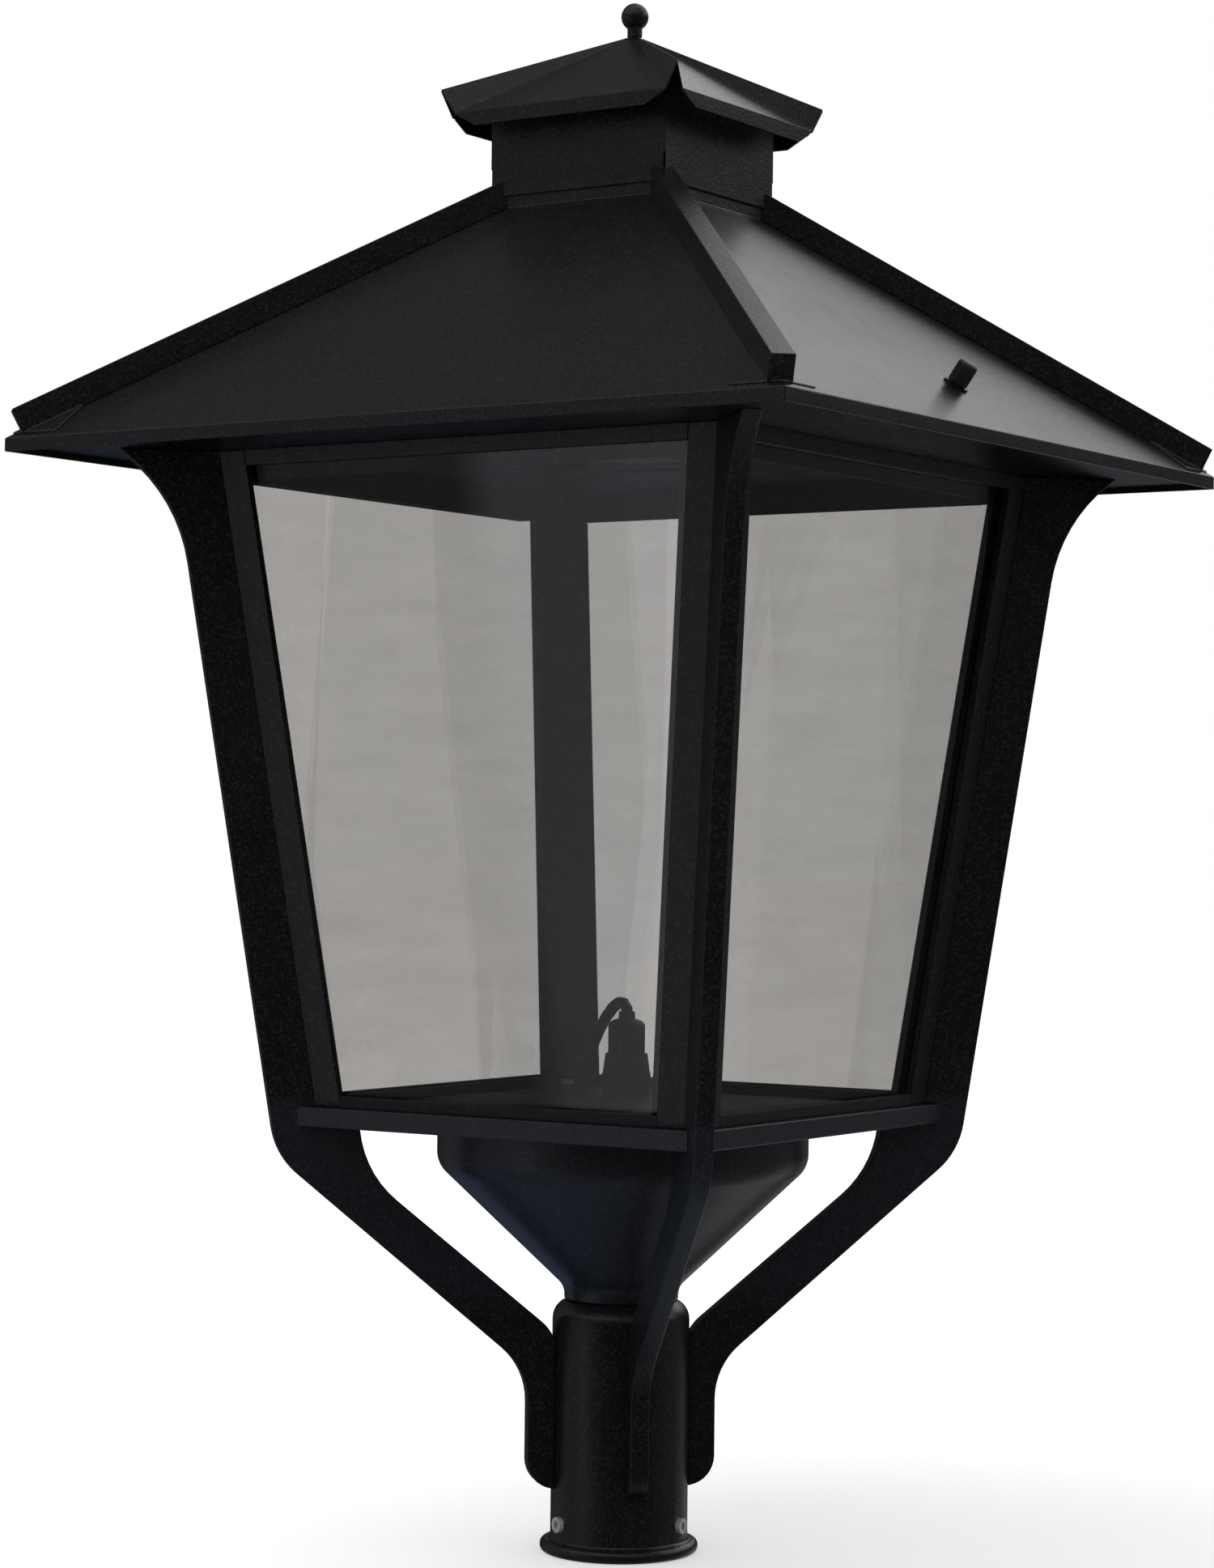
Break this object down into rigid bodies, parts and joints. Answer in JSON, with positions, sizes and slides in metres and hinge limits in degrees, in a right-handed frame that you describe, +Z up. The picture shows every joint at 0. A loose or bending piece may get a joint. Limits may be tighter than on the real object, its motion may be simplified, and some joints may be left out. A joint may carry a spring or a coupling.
{
  "type": "post top light",
  "caption": "Square tapered post top lantern: slip fitter, wiring bowl, profiled plate arms, glazed box, lift-off hip roof with a vented cupola and a ball finial.",
  "frame": {"origin": "centre of the slip fitter's mouth, on the post axis", "axes": "+Z up along the post axis, -Y the front pane, +X the pane and roof panel with the latch knob"},
  "size_m": [0.5736, 0.5736, 1.0052],
  "materials": {
    "black_coat": "satin black powder coat on aluminium",
    "clear_glass": "clear flat glass",
    "plated_steel": "zinc plated",
    "frosted_lens": "frosted",
    "board_white": "white solder mask",
    "plain_aluminium": "plain",
    "driver_case": "moulded",
    "block_grey": "moulded",
    "surge_blue": "potted case",
    "black_nylon": "moulded",
    "lead_jacket": "matt jacket"
  },
  "bodies": {
    "lantern": {"fitter": "black_coat", "clamp_screws": "plated_steel", "wiring_bowl": "black_coat", "bowl_screws": "plated_steel", "deck": "black_coat", "deck_screws": "plated_steel", "arm_front_right": "black_coat", "arm_back_right": "black_coat", "arm_back_left": "black_coat", "arm_front_left": "black_coat", "post_front_right": "black_coat", "post_back_right": "black_coat", "post_back_left": "black_coat", "post_front_left": "black_coat", "pane_right": "clear_glass", "pane_back": "clear_glass", "pane_left": "clear_glass", "pane_front": "clear_glass", "sill_right": "black_coat", "sill_back": "black_coat", "sill_left": "black_coat", "sill_front": "black_coat", "top_rail_right": "black_coat", "top_rail_back": "black_coat", "top_rail_left": "black_coat", "top_rail_front": "black_coat", "glass_stop_front_right": "black_coat", "glass_stop_back_right": "black_coat", "glass_stop_back_left": "black_coat", "glass_stop_front_left": "black_coat", "wireway_cover": "black_coat", "canopy_plate": "black_coat", "canopy_screws": "plated_steel", "lens": "frosted_lens", "lamp_board": "board_white", "heat_sink": "plain_aluminium", "sink_screws": "plated_steel", "driver_bracket": "plain_aluminium", "driver": "driver_case", "terminal_block": "block_grey", "surge_protector": "surge_blue", "gland_body": "black_nylon", "gland_nut": "black_nylon", "gland_locknut": "black_nylon", "lead": "lead_jacket", "latch_strike": "plated_steel"},
    "roof": {"roof_shell": "black_coat", "hip_bar_front_right": "black_coat", "hip_bar_back_right": "black_coat", "hip_bar_back_left": "black_coat", "hip_bar_front_left": "black_coat", "cupola_collar": "black_coat", "cupola_cap": "black_coat", "cap_strap": "plated_steel", "finial": "black_coat", "finial_nut": "plated_steel", "latch_bush": "plated_steel"},
    "latch": {"latch_knob": "black_nylon", "latch_tongue": "plated_steel", "latch_nut": "plated_steel"}
  },
  "joints": [
    {"name": "roof_lift", "type": "slide", "parent": "lantern", "child": "roof", "axis": [0, 0, 1], "range_m": [0, 0.2]},
    {"name": "latch_turn", "type": "hinge", "parent": "roof", "child": "latch", "pos_m": [0.238, 0, 0.74191], "axis": [0.5835, 0, 0.8121], "range_deg": [0, 90]}
  ]
}
